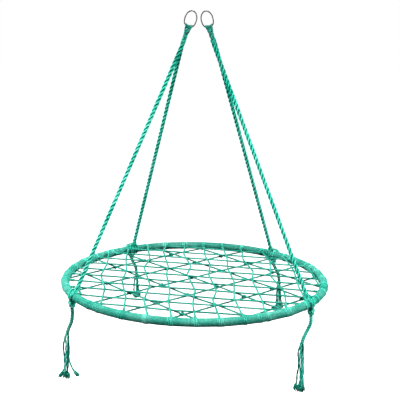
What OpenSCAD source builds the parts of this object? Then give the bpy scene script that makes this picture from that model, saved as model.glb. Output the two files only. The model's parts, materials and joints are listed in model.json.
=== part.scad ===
// Saucer nest swing: a steel hoop bound in cord, filled with a tied cord net and hung on four
// twisted ropes from two oval rings. Millimetres, +Z up, X along the line through the rings.
// The origin is midway between the two spots where a hook bears inside the top of each ring.

/* [Hoop] */
// Overall width of the hoop over its cord binding
hoop_d = 1000; // [900:10:1200]
// Thickness of the bound rim
rim_d = 30; // [28:0.5:36]
// Diameter of the steel tube
tube_d = 22; // [20:0.5:24]
// Wall of the steel tube
tube_wall = 2; // [1.5:0.1:3]
// Thickness of the tape wound on the tube under the cord binding
tape_t = 1.5; // [1:0.1:2]

/* [Rings] */
// Height of an oval ring over its wire
ring_h = 63; // [60:0.5:70]
// Width of an oval ring over its wire
ring_w = 47; // [44:0.5:52]
// Diameter of the ring wire
ring_wire = 5; // [4:0.1:6]
// Distance between the two hook spots
hook_gap = 44; // [40:1:60]
// How far the foot of each ring leans outwards, in degrees
ring_lean = 16; // [10:0.5:20]

/* [Suspension] */
// Height of the hook spots above the middle of the hoop
hang_drop = 990; // [800:10:1400]
// Diameter of a suspension rope
rope_d = 15; // [12:0.5:16]
// Angle from the ring line to the front left tie, seen from above
front_left_tie = 33.5; // [28:0.5:40]
// Angle from the ring line to the front right tie, seen from above
front_right_tie = 29; // [25:0.5:36]
// Angle from the ring line to the back left tie, seen from above
back_left_tie = 52; // [45:0.5:60]
// Angle from the ring line to the back right tie, seen from above
back_right_tie = 53.5; // [45:0.5:60]
// Largest swing either way, in degrees
swing_limit = 40; // [20:1:45]

/* [Net] */
// Diameter of a net cord
cord_d = 6; // [4:0.1:6.5]
// Spacing of the side to side cords and of the front to back cords
net_pitch = 79; // [70:1:90]
// Spacing of the slanting braces
brace_pitch = 147; // [130:1:160]

/* [Tails] */
// Diameter of a tail below its knot
tail_d = 14; // [12:0.5:14]
// Width of a tail where its strands have come apart
frayed_d = 18; // [14:0.5:22]

/* [Hidden] */

// Facets on small rounds and round the hoop
$fn = 48;
hoop_fn = 180;
// Gap left between pieces that only lie against each other, and between pieces that turn
skin_gap = 0.05;
turn_gap = 0.5;

// The hoop's middle line, its height and the inner face of its binding
hoop_r = (hoop_d - rim_d) / 2;
hoop_z = -hang_drop;
inner_r = hoop_r - rim_d / 2;
rim_r = rim_d / 2;

// Half the height of the ring wire's middle line, and the radius of its round ends
ring_a = (ring_h - ring_wire) / 2;
ring_end_r = (ring_w - ring_wire) / 2;
// From a hook spot to the middle of the ring, and to the middle of the wire at its foot
ring_mid = ring_a - ring_wire / 2;
foot_drop = ring_mid + ring_a;
// The wire's foot on the left ring: the swing turns on the line through both feet
foot_left = [-hook_gap / 2 - foot_drop * sin(ring_lean), 0, -foot_drop * cos(ring_lean)];

// The loops that go over a ring's foot: how many, their thickness and where the first one lies
loop_count = 6;
loop_d = 4.2;
loop_start = -8.6;
// The bound throat under a ring: where it starts and ends below the wire, and its radii
throat_top = 3;
throat_len = 44;
throat_r1 = 11;
throat_r2 = 8.6;
throat_split = 4.5;
rope_split = 10.5;
rope_sunk = 8;

// Directions of the four ties, from above
tie_front_left = 180 + front_left_tie;
tie_front_right = 360 - front_right_tie;
tie_back_left = 180 - back_left_tie;
tie_back_right = back_right_tie;
hitch_angles = [tie_front_left, tie_front_right, tie_back_left, tie_back_right];

// A hitch on the hoop: its strands, their slant, its saddle under the rope and its knot
strand_d = 7;
strand_step = 8.6;
strand_slant = 12;
saddle_r = 15;
saddle_top = 46;
rope_stop = 34;
knot_big_d = 29;
knot_out = 8;
knot_down = 25;
tail_pivot = [knot_out, 0, -41];

// Heights of the four layers of net cord about the hoop's middle, one gap apart
layer = cord_d + 0.3;
long_z = 1.5 * layer;
cross_z = 0.5 * layer;
brace_a_z = -0.5 * layer;
brace_b_z = -1.5 * layer;
// Diameter of the knot where two braces cross, just clear of the cords above it
knot_d = 2 * layer - 0.2;
// Lie of each family of cords, and how far its middle is from the hoop's middle
cross_turn = -6;
cross_shift = 22;
long_turn = 98;
long_shift = -19;
brace_a_turn = -44;
brace_a_shift = 11;
brace_b_turn = 47;
brace_b_shift = -38;
// No tie is made this close to a hitch, in degrees
tie_clear = 3.6;
tie_w = 9;
tie_t = 2.5;

// The joint in the tube at the back of the hoop: its slit, the sleeve inside and its pins
joint_at = 90;
joint_slit = 1;
sleeve_half = 5;
sleeve_wall = 2;
pin_d = 5;
pin_half = 2.6;

// Routes of the tails below their pivots, as [across, up] points
front_left_route = [
    [0, 0], [1, -25], [-3, -54], [-14, -81], [-19, -104], [-20, -130],
    [-21, -165], [-22, -210], [-23, -258]
];
front_right_route = [
    [0, 0], [1, -26], [-6, -48], [-18, -75], [-26, -100], [-28, -120],
    [-28, -150], [-27, -190], [-27, -240], [-27, -285]
];
back_left_route = [
    [0, 0], [8, -20], [18, -40], [21, -75], [22, -118], [23, -152]
];
back_right_route = [
    [0, 0], [10, -19], [22, -43], [28, -72], [27, -108], [29, -145],
    [31, -178]
];
// Where the strands start to part, and the sides of a tail's tube
fray_from = 95;
tail_sides = 12;
cap_steps = [75, 50, 25];

function unit(v) = v / norm(v);
// The angle that a length takes up on the hoop's middle line
function rim_angle(length) = length / hoop_r * 180 / PI;
function hoop_point(angle) = [hoop_r * cos(angle), hoop_r * sin(angle), hoop_z];
function side(p, right) = right ? [-p[0], p[1], p[2]] : p;
// Middle of the ropes' pull on a ring, for the left side
function pull() = unit(
    unit(hoop_point(tie_front_left) - foot_left) + unit(hoop_point(tie_back_left) - foot_left)
);
function throat_end() = foot_left + throat_len * pull();
function rope_top(right, back) = side(throat_end(), right) + [0, back ? rope_split : -rope_split, 0];
// Height of the left ring's wire above its foot at a distance u across, and how high its top comes
function wire_sin(u) = (u - ring_end_r * sin(ring_lean)) / ring_end_r;
function wire_rise(u) = ring_end_r * (cos(ring_lean) - sqrt(1 - wire_sin(u) * wire_sin(u)));
function wire_reach(u) = wire_rise(u) + ring_wire / 2 / sqrt(1 - wire_sin(u) * wire_sin(u));
function loop_r(u) = max(ring_wire / 2, wire_reach(u)) + turn_gap + loop_d / 2;
// Where a net cord meets the rim, seen from above
function cord_end(turn, shift, sense) =
    turn + (sense > 0 ? asin(shift / inner_r) : 180 - asin(shift / inner_r));
function turned_apart(a, b) = abs((a - b + 540) % 360 - 180);
function near_hitch(a) = min([for (h = hitch_angles) turned_apart(a + 360, h)]) < tie_clear;
// Where two net lines cross, from their directions and distances from the middle
function crossing(t1, s1, t2, s2) = [
    (s2 * cos(t1) - s1 * cos(t2)) / sin(t1 - t2),
    (s2 * sin(t1) - s1 * sin(t2)) / sin(t1 - t2)
];
function cross_offset(k) = cross_shift + net_pitch * (k - 6);
function long_offset(k) = long_shift + net_pitch * (k - 6.5);
function brace_a_offset(k) = brace_a_shift + brace_pitch * (k - 3);
function brace_b_offset(k) = brace_b_shift + brace_pitch * (k - 3.5);

module rod(p, q, r1, r2) {
    v = q - p;
    translate(p)
        rotate([0, acos(v[2] / norm(v)), atan2(v[1], v[0])])
            cylinder(h = norm(v), r1 = r1, r2 = r2);
}

// A round bar bent round the hoop's middle line, from one angle to another
module hoop_bar(r, from, to) {
    translate([0, 0, hoop_z])
        rotate([0, 0, from])
            rotate_extrude(angle = to - from, $fn = hoop_fn)
                translate([hoop_r, 0])
                    circle(r = r);
}

module hoop_pipe(r_out, r_in, from, to) {
    translate([0, 0, hoop_z])
        rotate([0, 0, from])
            rotate_extrude(angle = to - from, $fn = hoop_fn)
                translate([hoop_r, 0])
                    difference() {
                        circle(r = r_out);
                        circle(r = r_in);
                    }
}

// Puts a piece at an angle on the hoop: x outwards, y along the rim
module on_hoop(angle) {
    translate(hoop_point(angle))
        rotate([0, 0, angle])
            children();
}

// A ring with round ends and straight sides, in the XZ plane with its hook spot at the origin
module oval_ring() {
    straight = ring_a - ring_end_r;
    translate([0, 0, -ring_mid])
        rotate([90, 0, 0])
            for (turn = [0, 180])
                rotate([0, 0, turn]) {
                    translate([0, straight, 0])
                        rotate_extrude(angle = 180)
                            translate([ring_end_r, 0])
                                circle(d = ring_wire);
                    translate([ring_end_r, straight, 0])
                        rotate([90, 0, 0])
                            cylinder(h = 2 * straight, d = ring_wire);
                }
}

module ring(right) {
    color("dimgray")
        mirror([right ? 1 : 0, 0, 0])
            translate([-hook_gap / 2, 0, 0])
                rotate([0, ring_lean, 0])
                    oval_ring();
}

// Room for the ring wire in the loops: all round the wire, and wider where the wire climbs
module wire_room() {
    room_from = loop_start - loop_d / 2 - 1;
    room_to = loop_start + (loop_count - 0.5) * loop_d + 1;
    climb = [for (i = [0:12]) room_from + (room_to - room_from) * i / 12];
    sweep = 2 * (swing_limit + 42);
    translate(foot_left) {
        rotate([0, 90, 0])
            translate([0, 0, -throat_r1 * 2])
                cylinder(h = throat_r1 * 4, r = ring_wire / 2 + turn_gap + 0.8);
        rotate([0, 90, 0])
            rotate([0, 0, 180 - sweep / 2])
                rotate_extrude(angle = sweep)
                    polygon(concat([[0, room_from], [0, room_to]],
                        [for (i = [12:-1:0]) [loop_r(climb[i]) - loop_d / 2, climb[i]]]));
    }
}

module loops() {
    translate(foot_left)
        rotate([0, 90, 0])
            rotate_extrude()
                for (i = [0:loop_count - 1]) {
                    u = loop_start + i * loop_d;
                    translate([loop_r(u), u])
                        circle(d = loop_d + 0.3);
                }
}

module throat() {
    start = foot_left + throat_top * pull();
    for (s = [-1, 1])
        rod(start + [0, s * throat_split, 0], throat_end() + [0, s * rope_split, 0], throat_r1, throat_r2);
}

module ring_hitch(right) {
    color("seagreen")
        difference() {
            mirror([right ? 1 : 0, 0, 0])
                difference() {
                    union() {
                        loops();
                        throat();
                    }
                    wire_room();
                }
            for (back = [false, true])
                rope_body(right, back, skin_gap);
        }
}

// A straight rope, sunk a little into the throat above and the saddle below
module rope_body(right, back, gap) {
    angle = back ? (right ? tie_back_right : tie_back_left) : (right ? tie_front_right : tie_front_left);
    top = rope_top(right, back);
    along = unit(hoop_point(angle) - top);
    rod(top - (rope_sunk + gap) * along, hoop_point(angle) - (rope_stop - gap) * along,
        rope_d / 2 + gap, rope_d / 2 + gap);
}

module rope(right, back) {
    color("mediumaquamarine")
        rope_body(right, back, 0);
}

module hoop_tube() {
    color("silver")
        difference() {
            hoop_pipe(tube_d / 2, tube_d / 2 - tube_wall,
                joint_at + rim_angle(joint_slit / 2), joint_at + 360 - rim_angle(joint_slit / 2));
            pin_bars(pin_d / 2);
        }
}

module hoop_sleeve() {
    color("gray")
        difference() {
            hoop_pipe(tube_d / 2 - tube_wall - skin_gap, tube_d / 2 - tube_wall - sleeve_wall,
                joint_at - sleeve_half, joint_at + sleeve_half);
            pin_bars(pin_d / 2);
        }
}

module pin_bars(r) {
    for (s = [-1, 1])
        on_hoop(joint_at + s * pin_half)
            cylinder(h = rim_d, r = r, center = true);
}

// Two pins through tube and sleeve, dressed flush with the outside of the tube
module hoop_pins() {
    color("gainsboro")
        intersection() {
            pin_bars(pin_d / 2 - skin_gap);
            hoop_bar(tube_d / 2, joint_at - sleeve_half, joint_at + sleeve_half);
        }
}

module under_tape() {
    color("darkseagreen")
        hoop_pipe(tube_d / 2 + tape_t, tube_d / 2 + skin_gap, 0, 360);
}

module wrap(from, to) {
    color("turquoise")
        hoop_pipe(rim_r, tube_d / 2 + tape_t + skin_gap, from, to);
}

// A hitch on the hoop: slanting strands round the rim, a saddle up the rope and a knot below
module hoop_hitch(right, back) {
    angle = back ? (right ? tie_back_right : tie_back_left) : (right ? tie_front_right : tie_front_left);
    slant = right == back ? strand_slant : -strand_slant;
    foot = hoop_point(angle);
    up = unit(rope_top(right, back) - foot);
    color("lightseagreen")
        difference() {
            union() {
                rod(foot, foot + saddle_top * up, saddle_r, rope_d / 2 + 1.5);
                on_hoop(angle) {
                    for (i = [-1.5:1:1.5])
                        translate([0, i * strand_step, 0])
                            rotate([0, 0, slant])
                                rotate([90, 0, 0])
                                    rotate_extrude()
                                        translate([rim_r + strand_d / 2 + 0.3, 0])
                                            circle(d = strand_d);
                    translate([knot_out, 0, -knot_down])
                        sphere(d = knot_big_d);
                }
            }
            hoop_bar(rim_r + skin_gap, angle - 10, angle + 10);
            rope_body(right, back, skin_gap);
            on_hoop(angle)
                translate(tail_pivot)
                    sphere(r = tail_d / 2 + turn_gap);
        }
}

// Rim and hitches, as the net cords stop at them
module net_edge() {
    hoop_bar(rim_r + skin_gap, 0, 360);
    for (a = hitch_angles)
        on_hoop(a)
            rotate([90, 0, 0])
                cylinder(h = 4 * strand_step + strand_d, r = rim_r + strand_d + 1, center = true);
}

module net_cord(turn, shift, height) {
    half = sqrt(inner_r * inner_r - shift * shift) + rim_d / 3;
    difference() {
        translate([0, 0, hoop_z + height])
            rotate([0, 0, turn])
                translate([-half, shift, 0])
                    rotate([0, 90, 0])
                        cylinder(h = 2 * half, d = cord_d);
        net_edge();
    }
}

module net_cross(k) {
    color("aquamarine")
        net_cord(cross_turn, cross_offset(k), cross_z);
}

module net_long(k) {
    color("paleturquoise")
        net_cord(long_turn, long_offset(k), long_z);
}

module brace_a(k) {
    color("cadetblue")
        net_cord(brace_a_turn, brace_a_offset(k), brace_a_z);
}

module brace_b(k) {
    color("teal")
        net_cord(brace_b_turn, brace_b_offset(k), brace_b_z);
}

module brace_knots() {
    color("darkslategray")
        for (i = [1:5], j = [1:6]) {
            p = crossing(brace_a_turn, brace_a_offset(i), brace_b_turn, brace_b_offset(j));
            if (norm(p) < inner_r - rim_d)
                translate([p[0], p[1], hoop_z + (brace_a_z + brace_b_z) / 2])
                    sphere(d = knot_d);
        }
}

// One tie: a band of turns round the rim where a net cord meets it
module tie(angle) {
    if (!near_hitch(angle))
        on_hoop(angle)
            rotate([90, 0, 0])
                rotate_extrude()
                    polygon([
                        [rim_r + 0.1, -tie_w / 2], [rim_r + tie_t - 0.7, -tie_w / 2],
                        [rim_r + tie_t, -tie_w / 2 + 0.7], [rim_r + tie_t, tie_w / 2 - 0.7],
                        [rim_r + tie_t - 0.7, tie_w / 2], [rim_r + 0.1, tie_w / 2]
                    ]);
}

module net_ties() {
    color("darkturquoise") {
        for (k = [1:11], s = [-1, 1])
            tie(cord_end(cross_turn, cross_offset(k), s));
        for (k = [1:12], s = [-1, 1])
            tie(cord_end(long_turn, long_offset(k), s));
    }
}

// Distance along a route to its point i, the direction there, and a tail's radius there
function route_len(route, i) = i == 0 ? 0 : route_len(route, i - 1) + norm(route[i] - route[i - 1]);
function route_dir(route, i) = unit(route[min(i + 1, len(route) - 1)] - route[max(i - 1, 0)]);
function tail_r(s) =
    s < fray_from ? tail_d / 2 : tail_d / 2 + (frayed_d - tail_d) / 2 * min(1, (s - fray_from) / 60);
function tail_ring(mid, dir, r) = [
    for (k = [0:tail_sides - 1])
        let (a = 360 * k / tail_sides)
            [mid[0] - r * sin(a) * dir[1], r * cos(a), mid[1] + r * sin(a) * dir[0]]
];
// A round top, so that the tail can turn under its knot, then a ring at each point of the route
function tail_points(route) = concat(
    [for (c = cap_steps, p = tail_ring(route[0] - tail_d / 2 * sin(c) * route_dir(route, 0),
        route_dir(route, 0), tail_d / 2 * cos(c))) p],
    [for (i = [0:len(route) - 1], p = tail_ring(route[i], route_dir(route, i),
        tail_r(route_len(route, i)))) p]
);

module tail(angle, route) {
    rings = len(route) + len(cap_steps);
    n = tail_sides;
    color("mediumseagreen")
        translate(hoop_point(angle))
            translate([knot_out * cos(angle), knot_out * sin(angle), tail_pivot[2]])
                polyhedron(
                    points = tail_points(route),
                    faces = concat(
                        [[for (k = [0:n - 1]) k]],
                        [[for (k = [n - 1:-1:0]) (rings - 1) * n + k]],
                        [for (i = [0:rings - 2], k = [0:n - 1])
                            [i * n + k, (i + 1) * n + k, i * n + (k + 1) % n]],
                        [for (i = [0:rings - 2], k = [0:n - 1])
                            [i * n + (k + 1) % n, (i + 1) * n + k, (i + 1) * n + (k + 1) % n]]
                    ),
                    convexity = 4
                );
}

ring(false);  // ring_left
ring(true);  // ring_right
ring_hitch(false);  // ring_hitch_left
ring_hitch(true);  // ring_hitch_right
rope(false, false);  // rope_front_left
rope(true, false);  // rope_front_right
rope(false, true);  // rope_back_left
rope(true, true);  // rope_back_right
hoop_tube();
hoop_sleeve();
hoop_pins();
under_tape();
wrap(tie_front_left, tie_front_right);  // wrap_front
wrap(tie_front_right, tie_back_right + 360);  // wrap_right
wrap(tie_back_right, tie_back_left);  // wrap_back
wrap(tie_back_left, tie_front_left);  // wrap_left
hoop_hitch(false, false);  // hoop_hitch_front_left
hoop_hitch(true, false);  // hoop_hitch_front_right
hoop_hitch(false, true);  // hoop_hitch_back_left
hoop_hitch(true, true);  // hoop_hitch_back_right
net_cross(1);  // net_cross_01
net_cross(2);  // net_cross_02
net_cross(3);  // net_cross_03
net_cross(4);  // net_cross_04
net_cross(5);  // net_cross_05
net_cross(6);  // net_cross_06
net_cross(7);  // net_cross_07
net_cross(8);  // net_cross_08
net_cross(9);  // net_cross_09
net_cross(10);  // net_cross_10
net_cross(11);  // net_cross_11
net_long(1);  // net_long_01
net_long(2);  // net_long_02
net_long(3);  // net_long_03
net_long(4);  // net_long_04
net_long(5);  // net_long_05
net_long(6);  // net_long_06
net_long(7);  // net_long_07
net_long(8);  // net_long_08
net_long(9);  // net_long_09
net_long(10);  // net_long_10
net_long(11);  // net_long_11
net_long(12);  // net_long_12
brace_a(1);  // brace_a_01
brace_a(2);  // brace_a_02
brace_a(3);  // brace_a_03
brace_a(4);  // brace_a_04
brace_a(5);  // brace_a_05
brace_b(1);  // brace_b_01
brace_b(2);  // brace_b_02
brace_b(3);  // brace_b_03
brace_b(4);  // brace_b_04
brace_b(5);  // brace_b_05
brace_b(6);  // brace_b_06
brace_knots();
net_ties();
tail(tie_front_left, front_left_route);  // tail_front_left
tail(tie_front_right, front_right_route);  // tail_front_right
tail(tie_back_left, back_left_route);  // tail_back_left
tail(tie_back_right, back_right_route);  // tail_back_right
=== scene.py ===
"""Looks of a saucer nest swing: cord-bound hoop, tied net, twisted ropes and frayed tails."""

import json
import math
import random

import bpy
import numpy as np
from mathutils import Matrix, Vector


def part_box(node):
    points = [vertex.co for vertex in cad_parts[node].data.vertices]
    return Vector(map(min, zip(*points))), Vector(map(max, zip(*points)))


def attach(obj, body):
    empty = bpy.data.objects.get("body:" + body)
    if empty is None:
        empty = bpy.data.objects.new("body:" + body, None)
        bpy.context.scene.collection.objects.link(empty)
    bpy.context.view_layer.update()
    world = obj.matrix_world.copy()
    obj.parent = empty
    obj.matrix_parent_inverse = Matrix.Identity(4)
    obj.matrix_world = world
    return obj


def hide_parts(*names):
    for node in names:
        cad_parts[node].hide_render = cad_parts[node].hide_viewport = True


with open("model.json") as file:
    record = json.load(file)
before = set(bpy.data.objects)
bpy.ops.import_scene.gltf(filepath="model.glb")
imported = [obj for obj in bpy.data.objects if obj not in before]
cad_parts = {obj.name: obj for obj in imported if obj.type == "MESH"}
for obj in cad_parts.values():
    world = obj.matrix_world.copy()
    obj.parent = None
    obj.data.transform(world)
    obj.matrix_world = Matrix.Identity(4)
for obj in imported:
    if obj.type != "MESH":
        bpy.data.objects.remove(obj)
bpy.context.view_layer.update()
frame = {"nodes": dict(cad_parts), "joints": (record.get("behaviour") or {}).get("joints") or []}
rng = random.Random(11)

MM = 0.001
TAU = 2 * math.pi
UP = np.array([0.0, 0.0, 1.0])
# Towards the back of the swing
AFT = np.array([0.0, 1.0, 0.0])
joints = {j["name"]: j for j in frame["joints"]}

# ---------------------------------------------------------------- places, from the CAD frame

tape_low, tape_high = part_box("under_tape")
hoop_centre = np.array((tape_low + tape_high) / 2)
tape_r = (tape_high.z - tape_low.z) / 2
hoop_r = (tape_high.x - tape_low.x) / 2 - tape_r
wrap_low, wrap_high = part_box("wrap_front")
rim_r = (wrap_high.z - wrap_low.z) / 2
inner_r = hoop_r - rim_r
# Where the ropes are made fast, in degrees round the hoop
HITCHES = {"front_left": 213.5, "front_right": 331, "back_left": 128, "back_right": 53.5}

# The rings' feet and the throats under them, as part.scad has them
HOOK_HALF, FOOT_DROP, RING_LEAN = 22 * MM, 55.5 * MM, math.radians(16)
RING_END_R, RING_WIRE = 21 * MM, 5 * MM
THROAT_LEN, ROPE_SPLIT, TURN_GAP = 44 * MM, 10.5 * MM, 0.5 * MM


def unit(v):
    return np.asarray(v, float) / np.linalg.norm(v)


def axes(degrees):
    """Level directions at an angle round the hoop: outwards, and a quarter turn on from it."""
    a = math.radians(degrees)
    return np.array([math.cos(a), math.sin(a), 0]), np.array([-math.sin(a), math.cos(a), 0])


def hoop_point(degrees):
    return hoop_centre + hoop_r * axes(degrees)[0]


foot_left = np.array([
    -HOOK_HALF - FOOT_DROP * math.sin(RING_LEAN), 0, -FOOT_DROP * math.cos(RING_LEAN)])
pull_left = unit(unit(hoop_point(HITCHES["front_left"]) - foot_left)
                 + unit(hoop_point(HITCHES["back_left"]) - foot_left))


def mirrored(p, right):
    """A place worked out for the left side, moved to the right side where that is asked."""
    return np.asarray(p, float) * ([-1, 1, 1] if right else [1, 1, 1])


def rope_top(right, back):
    """The place in a throat from which a rope sets off."""
    top = foot_left + THROAT_LEN * pull_left + AFT * (ROPE_SPLIT if back else -ROPE_SPLIT)
    return mirrored(top, right)


# ---------------------------------------------------------------- camera

CAM_AZ, CAM_EL, CAM_DIST = math.radians(4.965), math.radians(17.152), 3.4945
CAM_PAN, CAM_TILT, CAM_ROLL = math.radians(-0.249), math.radians(4.893), math.radians(-0.900)
# Focal length in picture widths
CAM_FOCAL, SENSOR_MM = 2.29975, 36

camera_data = bpy.data.cameras.new("camera")
camera = bpy.data.objects.new("camera", camera_data)
bpy.context.scene.collection.objects.link(camera)
bpy.context.scene.camera = camera
outwards = Vector((math.sin(CAM_AZ) * math.cos(CAM_EL), -math.cos(CAM_AZ) * math.cos(CAM_EL),
                   math.sin(CAM_EL)))
ahead = -outwards
right_of = ahead.cross(Vector((0, 0, 1))).normalized()
above = right_of.cross(ahead)
turn = Matrix.Rotation(CAM_PAN, 3, above)
ahead, right_of = turn @ ahead, turn @ right_of
turn = Matrix.Rotation(CAM_TILT, 3, right_of)
ahead, above = turn @ ahead, turn @ above
turn = Matrix.Rotation(CAM_ROLL, 3, ahead)
right_of, above = turn @ right_of, turn @ above
camera.matrix_world = Matrix.Translation(Vector(hoop_centre) + outwards * CAM_DIST) @ Matrix(
    (right_of, above, -ahead)).transposed().to_4x4()
camera_data.sensor_width = SENSOR_MM
camera_data.lens = SENSOR_MM * CAM_FOCAL
camera_data.clip_start, camera_data.clip_end = 0.05, 60


# ---------------------------------------------------------------- mesh building

# Steps of a spline between two of its points before it is resampled
SPLINE_STEPS = 16
# Strands of a rope press into one another, so each is this much thicker than just touching
STRAND_PRESS = 1.05


def along_line(p):
    """Distance along a line to each of its points."""
    return np.concatenate([[0], np.cumsum(np.linalg.norm(np.diff(p, axis=0), axis=1))])


def resampled(p, step):
    """The same line through evenly spaced points, smoothed by a spline through the given ones."""
    p = np.asarray(p, float)
    ext = np.vstack([2 * p[0] - p[1], p, 2 * p[-1] - p[-2]])
    out = []
    for i in range(1, len(ext) - 2):
        a, b, c, d = ext[i - 1:i + 3]
        for t in np.linspace(0, 1, SPLINE_STEPS, endpoint=False):
            out.append(0.5 * (2 * b + (c - a) * t + (2 * a - 5 * b + 4 * c - d) * t * t
                              + (3 * b - a - 3 * c + d) * t ** 3))
    out = np.array(out + [p[-1]])
    s = along_line(out)
    n = max(3, int(round(s[-1] / step)) + 1)
    where = np.linspace(0, s[-1], n)
    return np.stack([np.interp(where, s, out[:, k]) for k in range(3)], -1)


def directions(p):
    t = np.gradient(p, axis=0)
    return t / np.maximum(np.linalg.norm(t, axis=1), 1e-12)[:, None]


def carried(t):
    """A cross direction carried along a line's directions without twist."""
    n = np.zeros_like(t)
    seed = np.cross(t[0], UP if abs(t[0][2]) < 0.9 else AFT)
    n[0] = unit(seed)
    for i in range(1, len(t)):
        v = n[i - 1] - t[i] * (n[i - 1] @ t[i])
        n[i] = v / np.linalg.norm(v)
    return n


class Bundle:
    """Tubes gathered into one mesh, with UVs of share round and metres along."""

    def __init__(self):
        self.points, self.loops, self.sizes, self.uvs, self.count = [], [], [], [], 0

    def tube(self, line, radius, sides=8, lobes=0, depth=0.3, lay=None, normal=None, phase=0.0,
             flat=1.0):
        """A tube along a line; lobes give it grooves, which turn once round in each lay."""
        p = np.asarray(line, float)
        n = len(p)
        t = directions(p)
        if normal is None:
            nrm = carried(t)
        else:
            nrm = np.asarray(normal, float)
            nrm = nrm - t * (nrm * t).sum(1)[:, None]
            nrm /= np.linalg.norm(nrm, axis=1)[:, None]
        binrm = np.cross(t, nrm)
        s = along_line(p)
        r = np.broadcast_to(np.asarray(radius, float), (n,))
        a = TAU * np.arange(sides) / sides
        shape = np.ones(sides)
        if lobes:
            shape = 1 - depth * (1 - np.abs(np.cos(lobes * a / 2)))
        turn_by = np.full(n, phase) if lay is None else phase + TAU * s / lay
        ang = a[None, :] + turn_by[:, None]
        rad = r[:, None] * shape[None, :]
        pts = (p[:, None, :] + (rad * np.cos(ang))[..., None] * nrm[:, None, :]
               + (flat * rad * np.sin(ang))[..., None] * binrm[:, None, :]).reshape(-1, 3)
        self.points.append(np.vstack([pts, p[:1], p[-1:]]))
        i = np.arange(n - 1)[:, None] * sides
        k = np.arange(sides)[None, :]
        k2 = (k + 1) % sides
        quads = np.stack([i + k, i + k2, i + sides + k2, i + sides + k], -1).reshape(-1, 4)
        u = np.broadcast_to(k / sides, (n - 1, sides))
        v0 = np.broadcast_to(s[:-1, None], (n - 1, sides))
        v1 = np.broadcast_to(s[1:, None], (n - 1, sides))
        uv = np.stack([np.stack([u, v0], -1), np.stack([u + 1 / sides, v0], -1),
                       np.stack([u + 1 / sides, v1], -1), np.stack([u, v1], -1)], 2)
        kk = np.arange(sides)
        start_cap = np.stack([np.full(sides, n * sides), (kk + 1) % sides, kk], -1)
        last = (n - 1) * sides
        end_cap = np.stack([np.full(sides, n * sides + 1), last + kk, last + (kk + 1) % sides], -1)
        cap_uv = np.zeros((2 * sides, 3, 2))
        cap_uv[sides:, :, 1] = s[-1]
        self.loops.append(quads.ravel() + self.count)
        self.loops.append(np.vstack([start_cap, end_cap]).ravel() + self.count)
        self.sizes.append(np.concatenate([np.full(len(quads), 4), np.full(2 * sides, 3)]))
        self.uvs.append(uv.reshape(-1, 2))
        self.uvs.append(cap_uv.reshape(-1, 2))
        self.count += n * sides + 2

    def rope(self, line, radius, lay, strands=3, sides=12, phase=0.0, taper=None, wander=0.0):
        """Strands laid round a line: a real twisted rope, its lay a little uneven by hand."""
        p = np.asarray(line, float)
        t = directions(p)
        n1 = carried(t)
        n2 = np.cross(t, n1)
        s = along_line(p)
        strand_r = radius / (1 + 1 / math.sin(math.pi / strands)) * STRAND_PRESS
        swing = radius - strand_r
        scale = np.ones(len(p)) if taper is None else taper
        marks = np.arange(0, s[-1] + 2 * lay, lay / 2)
        uneven = np.interp(s, marks, [rng.uniform(-wander, wander) for _ in marks])
        for k in range(strands):
            a = phase + uneven + TAU * (k / strands + s / lay)
            out = np.cos(a)[:, None] * n1 + np.sin(a)[:, None] * n2
            self.tube(p + (swing * scale)[:, None] * out, strand_r * scale, sides, normal=out)

    def make(self, name, material, body, slot, replaces=()):
        """The tubes as one object that rides a body and replaces CAD nodes."""
        mesh = bpy.data.meshes.new(name)
        co = np.concatenate(self.points).astype(np.float32)
        loops = np.concatenate(self.loops).astype(np.int32)
        sizes = np.concatenate(self.sizes)
        starts = np.concatenate([[0], np.cumsum(sizes)[:-1]]).astype(np.int32)
        mesh.vertices.add(len(co))
        mesh.vertices.foreach_set("co", co.ravel())
        mesh.loops.add(len(loops))
        mesh.loops.foreach_set("vertex_index", loops)
        mesh.polygons.add(len(sizes))
        mesh.polygons.foreach_set("loop_start", starts)
        mesh.uv_layers.new(name="UVMap").data.foreach_set(
            "uv", np.concatenate(self.uvs).astype(np.float32).ravel())
        mesh.update(calc_edges=True)
        mesh.validate()
        mesh.shade_smooth()
        mesh.materials.append(material)
        obj = bpy.data.objects.new(name, mesh)
        bpy.context.scene.collection.objects.link(obj)
        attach(obj, body)
        if replaces:
            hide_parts(*replaces)
        return obj


# ---------------------------------------------------------------- materials

def new_material(name):
    m = bpy.data.materials.new(name)
    m.use_nodes = True
    return m, m.node_tree.nodes, m.node_tree.links, m.node_tree.nodes["Principled BSDF"]


def maths(nodes, links, kind, a, b=None):
    node = nodes.new("ShaderNodeMath")
    node.operation = kind
    for socket, value in zip(node.inputs, (a, b)):
        if value is None:
            continue
        if isinstance(value, (int, float)):
            socket.default_value = value
        else:
            links.new(value, socket)
    return node.outputs[0]


def noise(nodes, links, coords, scale, detail=3.0, stretch=(1, 1, 1)):
    mapping = nodes.new("ShaderNodeMapping")
    mapping.inputs["Scale"].default_value = stretch
    links.new(coords, mapping.inputs["Vector"])
    node = nodes.new("ShaderNodeTexNoise")
    node.inputs["Scale"].default_value = scale
    node.inputs["Detail"].default_value = detail
    links.new(mapping.outputs[0], node.inputs["Vector"])
    return node.outputs["Fac"]


def ramp(nodes, links, fac, stops):
    node = nodes.new("ShaderNodeValToRGB")
    while len(node.color_ramp.elements) < len(stops):
        node.color_ramp.elements.new(0.5)
    for element, (where, colour) in zip(node.color_ramp.elements, stops):
        element.position = where
        element.color = (*colour, 1)
    links.new(fac, node.inputs["Fac"])
    return node.outputs["Color"]


def object_coords(nodes):
    return nodes.new("ShaderNodeTexCoord").outputs["Object"]


def raise_bumps(nodes, links, bsdf, height, strength, distance):
    bump = nodes.new("ShaderNodeBump")
    bump.inputs["Strength"].default_value = strength
    bump.inputs["Distance"].default_value = distance
    links.new(height, bump.inputs["Height"])
    links.new(bump.outputs[0], bsdf.inputs["Normal"])


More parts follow.
